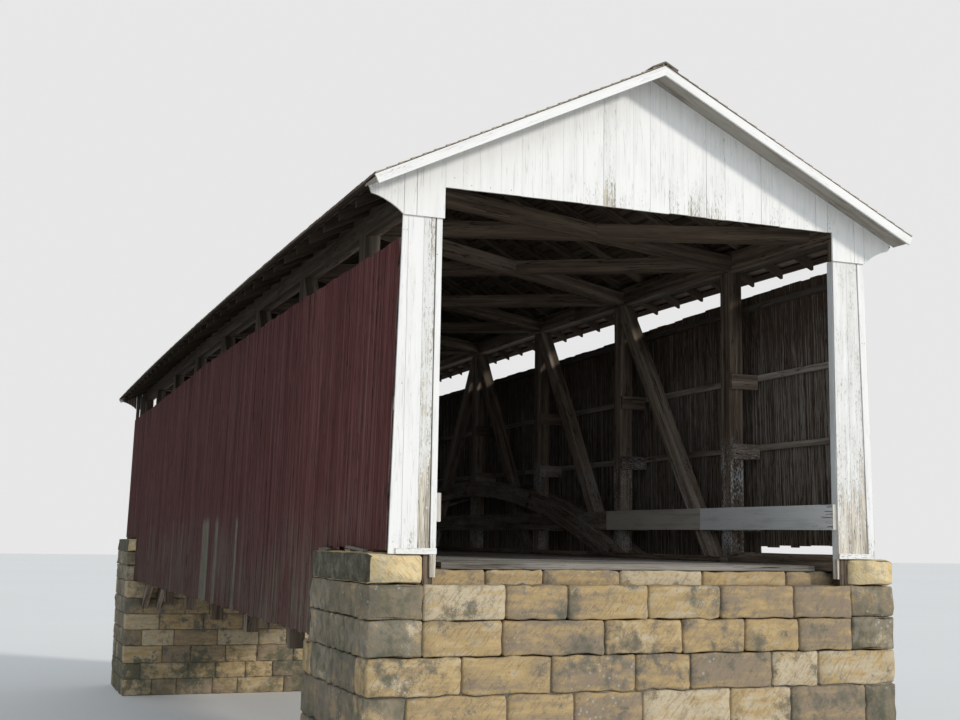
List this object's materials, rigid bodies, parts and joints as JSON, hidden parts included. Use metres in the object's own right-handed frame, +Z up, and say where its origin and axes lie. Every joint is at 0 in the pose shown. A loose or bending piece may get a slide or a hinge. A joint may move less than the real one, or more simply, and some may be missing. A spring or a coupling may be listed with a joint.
{
  "type": "covered bridge",
  "caption": "Timber covered bridge: kingpost trusses with low arches, boarded side walls, open eaves, gabled portals and stone abutments.",
  "frame": {"origin": "middle of the bridge on the ground line, under the centre of the span", "axes": "+X across the road, +Y along the road towards the far portal, +Z up"},
  "size_m": [6.6, 24.388, 9.3523],
  "materials": {
    "sandstone": "rough",
    "barn_red_boards": "weathered paint",
    "white_paint": "weathered paint",
    "shingle_roof": "rough",
    "deck_planks": "rough",
    "old_timber": "rough"
  },
  "bodies": {
    "root": {"bare_rails": "old_timber", "curbs": "old_timber", "deck": "deck_planks", "far_abutment": "sandstone", "far_backwall": "sandstone", "far_gable": "white_paint", "far_legs": "white_paint", "far_painted_rails": "white_paint", "far_portal_posts": "old_timber", "far_rake": "white_paint", "far_wing_walls": "sandstone", "floor_beams": "old_timber", "left_arch": "old_timber", "left_braces": "old_timber", "left_laths": "old_timber", "left_lower_chord": "old_timber", "left_nailers": "old_timber", "left_posts": "old_timber", "left_rafters": "old_timber", "left_shingles": "shingle_roof", "left_siding": "barn_red_boards", "left_upper_chord": "old_timber", "near_abutment": "sandstone", "near_backwall": "sandstone", "near_gable": "white_paint", "near_legs": "white_paint", "near_painted_rails": "white_paint", "near_portal_posts": "old_timber", "near_rake": "white_paint", "near_wing_walls": "sandstone", "outrigger_blocks": "old_timber", "ridge_cap": "shingle_roof", "right_arch": "old_timber", "right_braces": "old_timber", "right_laths": "old_timber", "right_lower_chord": "old_timber", "right_nailers": "old_timber", "right_posts": "old_timber", "right_rafters": "old_timber", "right_shingles": "shingle_roof", "right_siding": "barn_red_boards", "right_upper_chord": "old_timber", "sills": "old_timber", "stringers": "old_timber", "top_braces": "old_timber"}
  },
  "joints": []
}
